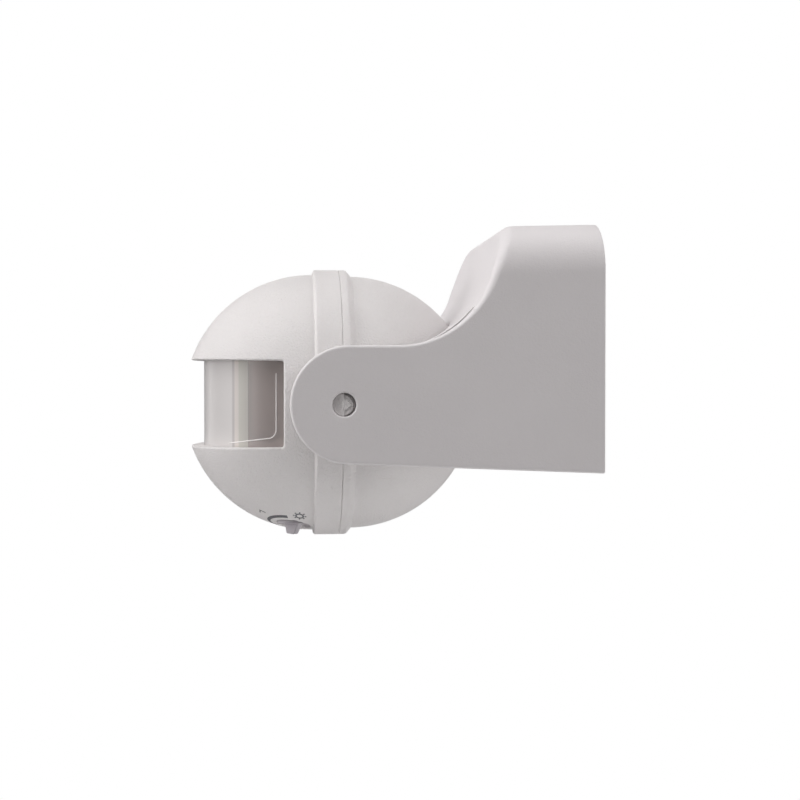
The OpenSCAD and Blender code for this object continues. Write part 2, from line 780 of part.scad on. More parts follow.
// A knob: round skirt in the shell's pocket, a pointed grip below it and a shaft up into the trimmer
module knob(x, grip_turn)
    translate([x, -knob_y, 0]) {
        skirt_low = pocket_floor - 1.1;
        grip_half = 3.6;
        rod_z(knob_r, skirt_low, pocket_floor - fit);
        rod_z(1.5, pocket_floor - weld, trimmer_top - 0.5);
        rotate([0, 0, grip_turn]) rotate([90, 0, 0]) linear_extrude(height = 1.9, center = true)
            polygon([
                [-grip_half, skirt_low + 0.2], [-grip_half + 0.8, -knob_foot],
                [grip_half - 2.8, -knob_foot], [grip_half, skirt_low + 0.2]
            ]);
    }

module lux_knob() color([0.55, 0.55, 0.55]) at_pivot() knob(knob_x, 35);

module time_knob() color([0.55, 0.55, 0.55]) at_pivot() knob(-knob_x, -35);

bracket_housing();
wall_plate();
plate_gasket();
cable_grommet();
housing_screws();
terminal_block();
terminal_tubes();
terminal_screws();
block_screws();
cord_clamp();
clamp_screws();
cable_tail();
terminal_leads();
front_shell();
rear_shell();
shell_seal();
shell_screws();
lens();
lens_frame();
main_pcb();
pcb_screws();
pir_sensor();
pir_window();
pir_holder();
light_sensor();
status_led();
relay();
film_capacitor();
electrolytic_capacitors();
varistor();
fuse_resistor();
rectifier_diodes();
resistors();
control_ic();
lux_trimmer();
time_trimmer();
knob_seals();
cable_bush();
head_cable();
head_leads();
lux_knob();
time_knob();
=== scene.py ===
"""Looks of the wall-mounted motion sensor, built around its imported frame.

Lengths in this script are millimetres measured from the tilt axis, unless a name says otherwise:
x runs along the tilt axis, y towards the wall, z up. Meshes are written out in metres.
"""

import json
import math

import bmesh
import bpy
import numpy as np
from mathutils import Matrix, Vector


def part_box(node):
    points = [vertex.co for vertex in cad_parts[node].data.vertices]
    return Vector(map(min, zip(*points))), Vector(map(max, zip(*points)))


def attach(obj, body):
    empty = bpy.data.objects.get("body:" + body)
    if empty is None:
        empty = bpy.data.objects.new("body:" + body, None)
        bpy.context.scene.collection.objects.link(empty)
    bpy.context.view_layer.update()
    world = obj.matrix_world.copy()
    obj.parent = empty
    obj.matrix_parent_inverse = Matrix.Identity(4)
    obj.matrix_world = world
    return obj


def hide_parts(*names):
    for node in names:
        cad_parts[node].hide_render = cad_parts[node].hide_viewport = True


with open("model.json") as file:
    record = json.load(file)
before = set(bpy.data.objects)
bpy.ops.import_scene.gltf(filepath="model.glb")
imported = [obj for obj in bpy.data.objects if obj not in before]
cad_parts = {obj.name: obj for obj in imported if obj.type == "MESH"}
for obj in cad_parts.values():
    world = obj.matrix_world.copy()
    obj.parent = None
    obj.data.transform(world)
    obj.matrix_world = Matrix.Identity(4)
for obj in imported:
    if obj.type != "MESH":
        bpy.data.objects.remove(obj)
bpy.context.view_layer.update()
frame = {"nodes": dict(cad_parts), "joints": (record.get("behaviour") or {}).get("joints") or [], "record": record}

# ---------------------------------------------------------------- sizes, from the frame

MM = 0.001
JOINTS = {j["name"]: j for j in frame["joints"]}
PIVOT = np.array(JOINTS["head_tilt"]["pos_m"])


def span(node):
    """A CAD node's box around the tilt axis, in millimetres."""
    low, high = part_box(node)
    return (np.array(low) - PIVOT) / MM, (np.array(high) - PIVOT) / MM


housing_low, housing_high = span("bracket_housing")
front_low, front_high = span("front_shell")
rear_low, rear_high = span("rear_shell")
lens_high = span("lens")[1]
knob_low, knob_high = span("lux_knob")
plate_low, plate_high = span("wall_plate")

HALF_W = housing_high[0]
REACH = housing_high[1]
WALL_TOP = housing_high[2]
WALL_LOW = housing_low[2]
ARM_C = 1.3
ARM_R = ARM_C - housing_low[1]
ARM_T = 3.1
ARM_IN = HALF_W - ARM_T
SIDE_T = ARM_T - 0.5
BOX_T = 2.4
TOP_R = 13.0
SWEEP_R = 23.1
SWEEP_C = (13.0, ARM_R + SWEEP_R)
LEAN = math.radians(18)
TOP_DRAFT = math.radians(1.6)
BROW_R = 2.5
CRADLE_R = 37.5
PIN_R = 2.75
HOLE_R = PIN_R + 0.08
PIN_END = front_high[0]
PLATE_T = plate_high[1] - plate_low[1]

COLLAR_R = 34.985
COLLAR_FRONT = 6.6
COLLAR_REAR = 3.1
FRONT_R = 33.7
REAR_R = 33.3
SHELL_T = 2.2
LENS_R = lens_high[0]
LENS_T = 0.75
SLOT_HALF = 10.5
SLOT_END = 14.3
LEDGE_HALF = SLOT_HALF + 2.5
SEAT_HALF = SLOT_HALF + 1.6
KNOB_X = JOINTS["lux_turn"]["pos_m"][0] / MM
KNOB_Y = (JOINTS["lux_turn"]["pos_m"][1] - PIVOT[1]) / MM
POCKET_FLOOR = -29.8
SCREW_X, SCREW_Z = 23.9, 11.7
SCREWS = [(x, z) for x in (-SCREW_X, SCREW_X) for z in (-SCREW_Z, SCREW_Z)]
SCREW_SEAT_Y = 14.0
POST_Z = 25.5
KNOB_SHAFT_R = 1.6
SKIRT_R = 4.2
POCKET_R = SKIRT_R + 0.16
KNOB_REST_TURN = math.radians(35)
EXIT_DIP = math.radians(4)

# ---------------------------------------------------------------- distance fields

hyp = np.hypot
big = np.maximum
small = np.minimum


def both(a, b, r=0.0):
    """Where two shapes overlap, with the edge between them rounded to radius r."""
    if np.isscalar(r) and r == 0:
        return big(a, b)
    return small(-r, big(a, b)) + hyp(big(r + a, 0), big(r + b, 0))


def either(a, b, r=0.0):
    """Two shapes joined, with a fillet of radius r between them."""
    if r == 0:
        return small(a, b)
    return big(r, small(a, b)) - hyp(big(r - a, 0), big(r - b, 0))


def less(a, b, r=0.0):
    """Shape a with shape b cut out, with the edge rounded to radius r."""
    return both(a, -b, r)


def block(x, y, z, low, high, r=0.0):
    """A box between two corners with edges rounded to radius r."""
    centre = [(p + q) / 2 for p, q in zip(low, high)]
    half = [(q - p) / 2 - r for p, q in zip(low, high)]
    d = [np.abs(v - c) - h for v, c, h in zip((x, y, z), centre, half)]
    outside = np.sqrt(sum(big(v, 0) ** 2 for v in d))
    return outside + small(big(d[0], big(d[1], d[2])), 0) - r


# ---------------------------------------------------------------- meshes

PROJECT_STEPS = 4


def surface_nets(field, low, high, cell):
    """Meshes the surface where field is zero with one point per grid cell, all slid onto the surface."""
    cell = np.broadcast_to(cell, 3).astype(float)
    low = np.asarray(low, float) - 1.5 * cell
    high = np.asarray(high, float) + 1.5 * cell
    count = np.ceil((high - low) / cell).astype(int) + 1
    xs, ys, zs = (low[i] + cell[i] * np.arange(count[i]) for i in range(3))
    y, z = np.meshgrid(ys, zs, indexing="ij")
    grid = np.stack([field(np.full_like(y, x), y, z) for x in xs])
    inside = grid < 0
    n = count - 1
    corners = [(i, j, k) for i in (0, 1) for j in (0, 1) for k in (0, 1)]
    filled = sum(inside[i:i + n[0], j:j + n[1], k:k + n[2]].astype(np.int8) for i, j, k in corners)
    active = (filled > 0) & (filled < 8)
    cells = np.argwhere(active)
    number = np.full(n, -1, np.int64)
    number[active] = np.arange(len(cells))
    total = np.zeros((len(cells), 3))
    crossings = np.zeros(len(cells))
    for a in corners:
        for axis in range(3):
            if a[axis]:
                continue
            b = list(a)
            b[axis] = 1
            va = grid[tuple((cells + a).T)]
            vb = grid[tuple((cells + b).T)]
            hit = (va < 0) != (vb < 0)
            t = np.where(hit, va / np.where(hit, va - vb, 1), 0)
            point = np.tile(np.array(a, float), (len(cells), 1))
            point[:, axis] += t
            total += point * hit[:, None]
            crossings += hit
    points = low + cell * (cells + total / crossings[:, None])
    faces = []
    for axis in range(3):
        u, v = (axis + 1) % 3, (axis + 2) % 3
        step = [0, 0, 0]
        step[axis] = 1
        first = inside[:n[0] + 1 - step[0], :n[1] + 1 - step[1], :n[2] + 1 - step[2]]
        second = inside[step[0]:, step[1]:, step[2]:]
        edges = np.argwhere(first != second)
        edges = edges[(edges[:, u] > 0) & (edges[:, v] > 0) & (edges[:, u] < n[u]) & (edges[:, v] < n[v])]
        ring = []
        for du, dv in ((1, 1), (0, 1), (0, 0), (1, 0)):
            c = edges.copy()
            c[:, u] -= du
            c[:, v] -= dv
            ring.append(number[tuple(c.T)])
        quad = np.stack(ring, 1)
        outward = first[tuple(edges.T)]
        quad[~outward] = quad[~outward][:, ::-1]
        faces.append(quad)
    faces = np.concatenate(faces)
    for _ in range(PROJECT_STEPS):
        value, slope = gradient(field, points)
        size = big((slope ** 2).sum(1), 0.05)
        points -= (np.clip(value, -cell.max() / 2, cell.max() / 2) / size)[:, None] * slope
    normals = gradient(field, points)[1]
    normals /= big(np.linalg.norm(normals, axis=1), 1e-9)[:, None]
    return points, faces, normals


def gradient(field, points, h=0.03):
    """A field's value and slope at some points."""
    p = points.T
    value = field(*p)
    slope = np.empty_like(points)
    for i in range(3):
        ahead, behind = p.copy(), p.copy()
        ahead[i] += h
        behind[i] -= h
        slope[:, i] = (field(*ahead) - field(*behind)) / (2 * h)
    return value, slope


def mesh_object(name, points, faces, normals=None):
    """A smooth-shaded object in metres from points around the tilt axis in millimetres."""
    mesh = bpy.data.meshes.new(name)
    mesh.from_pydata((np.asarray(points) * MM + PIVOT).tolist(), [], np.asarray(faces).tolist())
    mesh.validate()
    mesh.shade_smooth()
    if normals is not None:
        mesh.normals_split_custom_set_from_vertices(normals.tolist())
    obj = bpy.data.objects.new(name, mesh)
    bpy.context.scene.collection.objects.link(obj)
    return obj


def carved(name, field, low, high, cell):
    """An object meshed from a distance field."""
    return mesh_object(name, *surface_nets(field, low, high, cell))


def place(obj, body, material, slot, *nodes):
    """Gives a piece its material, its body and the CAD nodes it stands for."""
    obj.data.materials.clear()
    obj.data.materials.append(material)
    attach(obj, body)
    if nodes:
        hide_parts(*nodes)
    return obj


def cell(size):
    """A mesh cell's size, one number or one per axis."""
    return np.array(size) * 1


# ---------------------------------------------------------------- bracket fields

SIDE_SLOPE = math.tan(TOP_DRAFT)
UNDER_SLOPE = (WALL_LOW + ARM_R) / (REACH - ARM_C)
HOUSING_SCREW_X = 24.0
HOUSING_SCREW_Y = REACH - 8
HOUSING_SEAT_Z = WALL_LOW + 1.5
SCREW_HOLE_R = 1.6
SCREW_WELL_R = 3.1
CATCH_X = (13.6, 22.4)
CORD_MOUTH = (math.radians(30.5), math.radians(-18.5))
CORD_MOUTH_HALF = 3.0
CUP_R = CRADLE_R - 1.2
SLIT_W = 1.6
SLIT_END = 31.8
LIP_RISE = 0.38
LIP_START, LIP_END = 26.0, 32.0
LIP_FOOT_Y, LIP_FADE = 19.0, 7.0
EDGE = 0.7
EDGE_LOW, EDGE_HIGH = 15.0, 36.0


def bracket_front(x, y, z):
    """The bracket's outline seen from the front: upright sides and two large top corners."""
    risen = z + (REACH - y) * SIDE_SLOPE
    across, above = np.abs(x) - (HALF_W - TOP_R), risen - (WALL_TOP - TOP_R)
    corner = hyp(across, above) - TOP_R
    return np.where((across > 0) & (above > 0), corner, big(across, above) - TOP_R)


def bracket_upper(y, z):
    """The arms' upper edge, the hollow sweep and the leaning front face."""
    v, w = y - SWEEP_C[0], z - SWEEP_C[1]
    cos, sin = math.cos(LEAN), math.sin(LEAN)
    sweep = SWEEP_R - hyp(v, w)
    lean = SWEEP_R - (v * cos - w * sin)
    return np.where(v < 0, z - ARM_R, np.where(v * sin + w * cos > 0, lean, sweep))


def bracket_under(y, z):
    """The underside, which falls a little towards the wall."""
    return (-ARM_R + UNDER_SLOPE * (y - ARM_C) - z) * math.cos(math.atan(UNDER_SLOPE))


def eased(t):
    """A smooth step from 0 to 1."""
    t = np.clip(t, 0, 1)
    return t * t * (3 - 2 * t)


def slit_lip(x, y):
    """Height of the low lip that rises towards each slit beside an arm."""
    across = np.abs(x)
    beside = eased((across - LIP_START) / (LIP_END - LIP_START)) * (across < ARM_IN - 0.3)
    along = eased((SLIT_END + 1 - y) / 3) * eased((y - LIP_FOOT_Y) / LIP_FADE)
    return LIP_RISE * beside * along


def bracket_outside(x, y, z):
    """The bracket as a solid, before anything is cut out of it."""
    front = bracket_front(x, y, z)
    tip = hyp(y - ARM_C, z) - ARM_R
    upper = bracket_upper(y, z) - slit_lip(x, y)
    side = np.where(y < ARM_C, tip, big(upper, bracket_under(y, z)))
    edge = EDGE + (BROW_R - EDGE) * eased((z - EDGE_LOW) / (EDGE_HIGH - EDGE_LOW))
    return both(both(front, side, edge), y - REACH, 0.3)


def housing_field(x, y, z):
    """The bracket housing."""
    turn = hyp(y, z)
    cup = hyp(turn, x)
    front = bracket_front(x, y, z)
    body = bracket_outside(x, y, z)
    body = less(body, both(cup - CUP_R, np.abs(x) - ARM_IN, 0.6), 0.9)
    under = bracket_under(y, z)
    room = big(big(front + SIDE_T, bracket_upper(y, z) + BOX_T), big(under + BOX_T, CRADLE_R + BOX_T - cup))
    body = less(body, room)
    mouth = big(big(front + SIDE_T, WALL_LOW + SIDE_T - z), REACH - PLATE_T - 0.1 - y)
    body = less(body, mouth, 0.2)
    body = less(body, turn - HOLE_R, 0.35)
    top, low = CORD_MOUTH
    sector = big(z * math.cos(top) - y * math.sin(top), y * math.sin(low) - z * math.cos(low))
    body = less(body, big(big(np.abs(x) - CORD_MOUTH_HALF, sector), turn - CRADLE_R - BOX_T - 1), 0.3)
    across = np.abs(x)
    body = less(body, block(across, y, z, (ARM_IN - SLIT_W, -20, -50), (ARM_IN, SLIT_END, 50)), 0.1)
    screw = hyp(across - HOUSING_SCREW_X, y - HOUSING_SCREW_Y)
    body = less(body, big(screw - SCREW_HOLE_R, z + 6))
    body = less(body, big(screw - SCREW_WELL_R, z - HOUSING_SEAT_Z), 0.25)
    left, right = CATCH_X
    catch = block(across, y, z, (left, REACH - 7, WALL_TOP - 3.4), (right, REACH - 4.4, WALL_TOP - 1.5))
    return less(body, catch)


HOOK_X = (14.0, 22.0)
HOOK_Z = (39.2, 41.2, 43.0)
HOOK_DEEP, HOOK_T = 6.8, 2.0
GROMMET_X, GROMMET_Z = -20.0, 4.0
GROMMET_HOLE_R = 6.05
FOOT_Z = (17.0, 29.0)
FIX_X, FIX_Z, FIX_R = 27.0, 22.0, 2.4
CORD_REACH = 51.2
CORD_RUN = COLLAR_REAR + math.cos(EXIT_DIP) * CORD_REACH
CORD_Z = -math.sin(EXIT_DIP) * (CORD_RUN - COLLAR_REAR)


def plate_outline(x, z, inset):
    """The wall face's outline, drawn in by some distance."""
    half, top, low, r = HALF_W - inset, WALL_TOP - inset, WALL_LOW + inset, TOP_R - inset
    across, above = np.abs(x) - (half - r), z - (top - r)
    arch = np.where((across > 0) & (above > 0), hyp(across, above), big(across, above)) - r
    return both(arch, low - z, 0.3)


def plate_field(x, y, z):
    """The wall plate with its hooks, bosses, saddle and feet."""
    across = np.abs(x)
    deep = REACH - y
    body = both(plate_outline(x, z, SIDE_T + 0.15), big(-deep, deep - PLATE_T), 0.35)
    base = PLATE_T - 0.5
    left, right = HOOK_X
    low, seat, top = HOOK_Z
    for start, end_z in ((base, seat), (HOOK_DEEP - HOOK_T, top)):
        body = either(body, block(across, deep, z, (left, start, low), (right, HOOK_DEEP, end_z), 0.2), 0.3)
    boss = block(across, deep, z, (19.5, base, WALL_LOW + 3.4), (28.5, 13, WALL_LOW + 10.4), 0.3)
    body = either(body, boss, 0.4)
    saddle = block(x, deep, z, (9, base, CORD_Z - 9), (15, REACH - CORD_RUN - 0.1, CORD_Z + 9), 0.3)
    body = either(body, saddle, 0.4)
    for low in FOOT_Z:
        foot = block(x, deep, z, (-11, base, low), (11, REACH - CORD_RUN - 4.6, low + 2), 0.2)
        body = either(body, foot, 0.3)
    body = less(body, hyp(across - FIX_X, z - FIX_Z) - FIX_R, 0.25)
    body = less(body, big(hyp(across - HOUSING_SCREW_X, deep - 8) - 1.55, z - WALL_LOW - 9.9))
    body = less(body, hyp(x - GROMMET_X, z - GROMMET_Z) - GROMMET_HOLE_R, 0.2)
    body = less(body, big(hyp(y - CORD_RUN, z - CORD_Z) - 2.35, np.abs(x - 12) - 5))
    body = less(body, big(hyp(x - 12, np.abs(z - CORD_Z) - 6.5) - 1.3, 1.2 - deep))
    groove = big(plate_outline(x, z, SIDE_T + 1.4), -plate_outline(x, z, SIDE_T + 3))
    body = less(body, big(groove, deep - 1.2), 0.1)
    return less(body, big(hyp(across - 4, z - 24) - 1.05, 0.8 - deep))


# ---------------------------------------------------------------- head fields

BOSS_R = 5.4
THRUST_X = ARM_IN - 0.08
RAMP_TURN = math.radians(14)
RAMP = math.tan(RAMP_TURN)
TRUNNION_ROOT = 32.0
WEDGE_HALF = 1.5
WEDGE_RISE = 0.35
PIN_NECK = PIN_END - 1.6


def trunnion(across, y, z, half):
    """Half (-1 front, +1 rear) of one pivot pin with its thrust boss.

    The front half's end is a ramp; the rear half's end has a raised wedge that points away from the joint.
    """
    if half < 0:
        end = (across - PIN_END - RAMP * y) * math.cos(RAMP_TURN)
    else:
        wedge = (np.abs(z) + 0.75 * y - WEDGE_HALF) / 1.25
        end = small(across - PIN_END + WEDGE_RISE, both(across - PIN_END, wedge, 0.1))
    shaft = hyp(y, z) - PIN_R
    if half > 0:
        shaft = big(shaft, small(hyp(y + 0.25, z + 0.12) - PIN_R + 0.3, across - PIN_NECK))
    pin = both(shaft, big(end, TRUNNION_ROOT - across), 0.1)
    boss = both(hyp(y, z) - BOSS_R, big(across - THRUST_X, TRUNNION_ROOT - across), 0.25)
    return both(small(pin, boss), half * -y, 0.03)


def front_outside(x, y, z):
    """The front half of the ball with its collar."""
    r = hyp(x, z)
    ball = hyp(r, y + COLLAR_FRONT) - FRONT_R
    collar = both(r - COLLAR_R, -COLLAR_FRONT - y, 0.7)
    return both(either(ball, collar, 0.3), y, 0.2)


def window_slot(y, z):
    """The window slot, flaring a little to the front."""
    flare = 0.9 / (50 - SLOT_END)
    half = SLOT_HALF + big(-SLOT_END - y, 0) * flare
    return both(np.abs(z) - half, y + SLOT_END, 0.5)


def front_field(x, y, z):
    """The front shell."""
    across, above = np.abs(x), np.abs(z)
    r = hyp(x, z)
    ball = hyp(r, y + COLLAR_FRONT) - FRONT_R
    ledge = both(above - LEDGE_HALF, y + SLOT_END - 2, 0.3)
    knob = hyp(across - KNOB_X, y - KNOB_Y)
    inside = small(ledge, big(knob - 5.6, z + 26.15))
    screw = hyp(across - SCREW_X, above - SCREW_Z)
    inside = small(inside, big(screw - 5.1, big(-12.4 - y, y + 2.6)))
    post = hyp(x, above - POST_Z)
    inside = small(inside, big(post - 3, y + 7.05))
    room = small(big(ball + SHELL_T, y + COLLAR_FRONT),
                 big(r - (FRONT_R - SHELL_T + 0.3), -COLLAR_FRONT - y))
    body = less(front_outside(x, y, z), big(room, -inside))
    body = less(body, window_slot(y, z), 0.4)
    tube = hyp(x, y + COLLAR_FRONT)
    behind = y + SLOT_END - 2.5
    body = less(body, big(big(tube - LENS_R - 0.1, above - SEAT_HALF), behind))
    body = less(body, big(big(tube - LENS_R + 1.5, above - LEDGE_HALF - 0.5), behind))
    body = less(body, big(screw - 1.55, -11.5 - y))
    body = less(body, big(post - 1.3, -17 - y))
    body = less(body, big(knob - POCKET_R, z - POCKET_FLOOR), 0.2)
    body = less(body, big(knob - KNOB_SHAFT_R, z + 20))
    body = less(body, big(knob - 2.7, np.abs(z + 26) - 1))
    return less(body, big(np.abs(r - 33.3) - 0.65, -1 - y))


def exit_frame(y, z):
    """Distance along, and height across, the cable's line where it leaves the head."""
    cos, sin = math.cos(EXIT_DIP), math.sin(EXIT_DIP)
    return (y - COLLAR_REAR) * cos - z * sin, (y - COLLAR_REAR) * sin + z * cos


def rear_outside(x, y, z):
    """The rear half of the ball with its bevelled collar."""
    r = hyp(x, z)
    ball = hyp(r, y - COLLAR_REAR) - REAR_R
    bevel = ((r - COLLAR_R) * 1.2 + (y - COLLAR_REAR + 1.2) * 1.35) / hyp(1.2, 1.35)
    collar = both(both(r - COLLAR_R, bevel, 0.35), y - COLLAR_REAR, 0.12)
    return both(either(ball, collar, 0.25), -y, 0.2)


def rear_field(x, y, z):
    """The rear shell."""
    across, above = np.abs(x), np.abs(z)
    r = hyp(x, z)
    ball = hyp(r, y - COLLAR_REAR) - REAR_R
    screw = hyp(across - SCREW_X, above - SCREW_Z)
    room = small(big(ball + SHELL_T, COLLAR_REAR - y),
                 big(r - (REAR_R - SHELL_T + 0.3), y - COLLAR_REAR))
    boss = big(screw - 3.7, 0.05 - y)
    body = less(rear_outside(x, y, z), big(room, -boss))
    spigot = big(big(r - 31.65, 30.1 - r), big(-2.5 - y, y - 1.5))
    body = small(body, small(spigot, big(screw - 3.7, big(-2.5 - y, y - 1))))
    body = less(body, screw - SCREW_HOLE_R)
    body = less(body, big(screw - 3, SCREW_SEAT_Y - y), 0.3)
    along, height = exit_frame(y, z)
    bush = hyp(x, height)
    body = less(body, big(bush - 3.6, 20 - along))
    return less(body, big(bush - 5.1, REAR_R - 0.55 - along), 0.2)


def bush_field(x, y, z):
    """The rubber bush around the cable, with a rounded flange."""
    along, height = exit_frame(y, z)
    r = hyp(x, height)
    flange = both(r - 5, np.abs(along - REAR_R + 0.05) - 0.45, 0.4)
    neck = big(r - 3.5, big(REAR_R - 3 - along, along - REAR_R))
    lip = both(r - 4.6, np.abs(along - REAR_R + 3.2) - 0.5, 0.3)
    return less(either(small(flange, lip), neck, 0.2), r - 2.35, 0.3)


GRIP_HALF = 3.1
GRIP_T = 0.8


def knob_field(x, y, z, side):
    """One setting knob: skirt, tapered grip bar with a pointer groove, and shaft."""
    turn = KNOB_REST_TURN * side
    u = (x - side * KNOB_X) * math.cos(turn) + (y - KNOB_Y) * math.sin(turn)
    v = -(x - side * KNOB_X) * math.sin(turn) + (y - KNOB_Y) * math.cos(turn)
    r = hyp(u, v)
    skirt_low = POCKET_FLOOR - 1.1
    foot = knob_low[2]
    skirt = both(r - SKIRT_R, big(skirt_low - z, z - POCKET_FLOOR + 0.1), 0.25)
    depth = (skirt_low - z) / (skirt_low - foot)
    blunt = (-u - GRIP_HALF + 0.8 * depth) * 0.95
    pointer = (u - GRIP_HALF + 2.2 * depth) * 0.73
    bar = both(both(np.abs(v) - GRIP_T, big(blunt, pointer), 0.35), big(foot - z, z - skirt_low - 0.6), 0.3)
    body = either(skirt, bar, 0.35)
    notch = hyp(v, z - foot) - 0.3
    body = less(body, big(notch, -u), 0.1)
    shaft = both(r - 1.5, big(skirt_low - z, z - knob_high[2]), 0.2)
    return small(body, shaft)


def head_of_screw(across, along, radial, r, h, shank, length):
    """A pan-head screw about its own axis; along grows out of the head."""
    dome_r = (r * r + h * h * 0.3) / (h * 0.9)
    dome = np.sqrt(radial ** 2 + (along - h + dome_r) ** 2) - dome_r
    head = both(both(radial - r, dome, 0.3), -along, 0.1)
    a, b = np.abs(across[0]), np.abs(across[1])
    taper = big(h * 0.35 - along, 0)
    cross = small(big(a - r * 0.55 + taper, b - r * 0.14), big(b - r * 0.55 + taper, a - r * 0.14))
    head = less(head, big(cross, h * 0.25 - along), 0.08)
    return small(head, both(radial - shank, big(-length - along, along - 0.3), 0.2))


def shell_screw_field(x, y, z):
    """One screw that joins the shells, about the y axis."""
    return head_of_screw((x, z), y - SCREW_SEAT_Y - 0.05, hyp(x, z), 2.8, 1.8, 1.5, 24)


def housing_screw_field(x, y, z):
    """One screw that holds the housing, head down, about the z axis."""
    return head_of_screw((x, y), HOUSING_SEAT_Z - 0.05 - z, hyp(x, y), 2.9, 1.3, 1.5, 8)


def grommet_field(x, y, z):
    """The supply cable's grommet."""
    deep = REACH - y
    r = hyp(x - GROMMET_X, z - GROMMET_Z)
    body = both(r - 6, big(-deep, deep - 2.6), 0.3)
    body = small(body, both(r - 7.5, big(PLATE_T + 0.05 - deep, deep - PLATE_T - 1.3), 0.4))
    body = either(body, both(r - 5, big(1 - deep, deep - PLATE_T - 3.5), 0.4), 0.3)
    return less(body, r - 3.5, 0.4)


# ---------------------------------------------------------------- lens

LENS_MILK_END = 54.5
LENS_END = math.degrees(math.acos((SLOT_END - 1.6 - COLLAR_FRONT) / LENS_R)) - 0.2
LENS_COLUMNS = 360
LENS_ROWS = 72
FACET_ROWS = 3
FACET_DEPTH = 0.18


def lens_sheet():
    """The bent lens: smooth outside, ribbed facets inside the milky front, plain see-through side panes."""
    half = lens_high[2]
    turns = np.radians(np.linspace(-LENS_END, LENS_END, LENS_COLUMNS))
    heights = np.linspace(-half, half, LENS_ROWS)
    t, h = np.meshgrid(turns, heights, indexing="ij")
    degrees = np.degrees(np.abs(t))
    milk = degrees < LENS_MILK_END
    column = np.abs((degrees * 0.2) % 1 - 0.5) * 2
    row = np.abs(((h + half) / (2 * half) * FACET_ROWS) % 1 - 0.5) * 2
    facet = np.where(milk, FACET_DEPTH * (0.5 * column + 0.5 * row), 0)
    outer_r = np.full_like(t, LENS_R)
    inner_r = LENS_R - LENS_T + facet
    shells = []
    for r in (outer_r, inner_r):
        shells.append(np.stack([r * np.sin(t), -COLLAR_FRONT - r * np.cos(t), h], -1).reshape(-1, 3))
    count = LENS_COLUMNS * LENS_ROWS
    index = np.arange(count).reshape(LENS_COLUMNS, LENS_ROWS)
    a, b, c, d = index[:-1, :-1], index[1:, :-1], index[1:, 1:], index[:-1, 1:]
    outside = np.stack([a, b, c, d], -1).reshape(-1, 4)
    inside = np.stack([d, c, b, a], -1).reshape(-1, 4) + count
    rim = np.concatenate([index[:, 0], index[-1, 1:], index[-2::-1, -1], index[0, -2:0:-1]])
    ahead = np.roll(rim, -1)
    edge = np.stack([ahead, rim, rim + count, ahead + count], -1)
    points = np.concatenate(shells)
    faces = np.concatenate([outside, inside, edge])
    obj = mesh_object("lens_window", points, faces)
    middle = np.degrees(np.abs(turns[:-1] + turns[1:]) / 2)
    pane = np.repeat((middle > LENS_MILK_END).astype(np.int32), LENS_ROWS - 1)
    material = np.concatenate([pane, pane, np.zeros(len(edge), np.int32)])
    return obj, material


FRAME_R = (27.25, 28.3)
FRAME_OPEN = (72.3, 9.4)
FRAME_CORNER = 2.6


def lens_frame_field(x, y, z):
    """The frame behind the lens: a bent band with one wide opening that has rounded corners."""
    ahead = -(y + COLLAR_FRONT)
    r = hyp(x, ahead)
    angle = np.arctan2(np.abs(x), ahead)
    sheet = both(np.abs(r - sum(FRAME_R) / 2) - (FRAME_R[1] - FRAME_R[0]) / 2, np.abs(z) - lens_high[2], 0.15)
    sheet = both(sheet, y - lens_high[1], 0.15)
    beyond = (angle - math.radians(FRAME_OPEN[0])) * FRAME_R[1]
    opening = both(beyond, np.abs(z) - FRAME_OPEN[1], FRAME_CORNER)
    return less(sheet, opening, 0.3)


BEAD_R = 0.15
BEAD_START, BEAD_END = 42.0, 70.4
BEAD_TOP, BEAD_LOW, BEAD_LAST = 7.6, -8.5, -9.9
BEAD_CORNER = 2.2


def lens_beads():
    """A fine raised line on each side of the lens: down near the slot's end, then forward at the bottom."""
    r = LENS_R - BEAD_R / 4
    corner_turn = math.degrees(BEAD_CORNER / r)
    corner_end = BEAD_END - corner_turn
    path = [(BEAD_END, h) for h in np.linspace(BEAD_TOP, BEAD_LOW + BEAD_CORNER, 24)]
    for i in range(1, 13):
        a = math.pi / 2 * i / 12
        path.append((BEAD_END - corner_turn * (1 - math.cos(a)), BEAD_LOW + BEAD_CORNER * (1 - math.sin(a))))
    for t in np.linspace(0, 1, 40)[1:]:
        path.append((corner_end + (BEAD_START - corner_end) * t, BEAD_LOW + (BEAD_LAST - BEAD_LOW) * t))
    parts = []
    for side in (-1, 1):
        line = []
        for degrees, height in path:
            a = math.radians(degrees)
            line.append(Vector((side * r * math.sin(a), -COLLAR_FRONT - r * math.cos(a), height)))
        parts.append(tube(line, BEAD_R, 10))
    return merged("pane_beads", parts)


def tube(line, r, sides):
    """A round closed tube along a line of points."""
    points, faces = [], []
    for i, p in enumerate(line):
        along = (line[min(i + 1, len(line) - 1)] - line[max(i - 1, 0)]).normalized()
        out = Vector((p.x, p.y + COLLAR_FRONT, 0)).normalized()
        beside = along.cross(out).normalized()
        for k in range(sides):
            a = 2 * math.pi * k / sides
            points.append(p + r * (math.cos(a) * out + math.sin(a) * beside))
    for i in range(len(line) - 1):
        for k in range(sides):
            n = (k + 1) % sides
            faces.append([i * sides + k, i * sides + n, (i + 1) * sides + n, (i + 1) * sides + k])
    last = (len(line) - 1) * sides
    for k in range(1, sides // 2):
        faces.append([k - 1, k, sides - 1 - k, sides - k])
        faces.append([last + sides - k, last + sides - 1 - k, last + k, last + k - 1])
    return np.array([list(p) for p in points]), np.array(faces)


# ---------------------------------------------------------------- marks under the knobs

MARK_LIFT = 0.05
MARK_DEPTH = 0.12


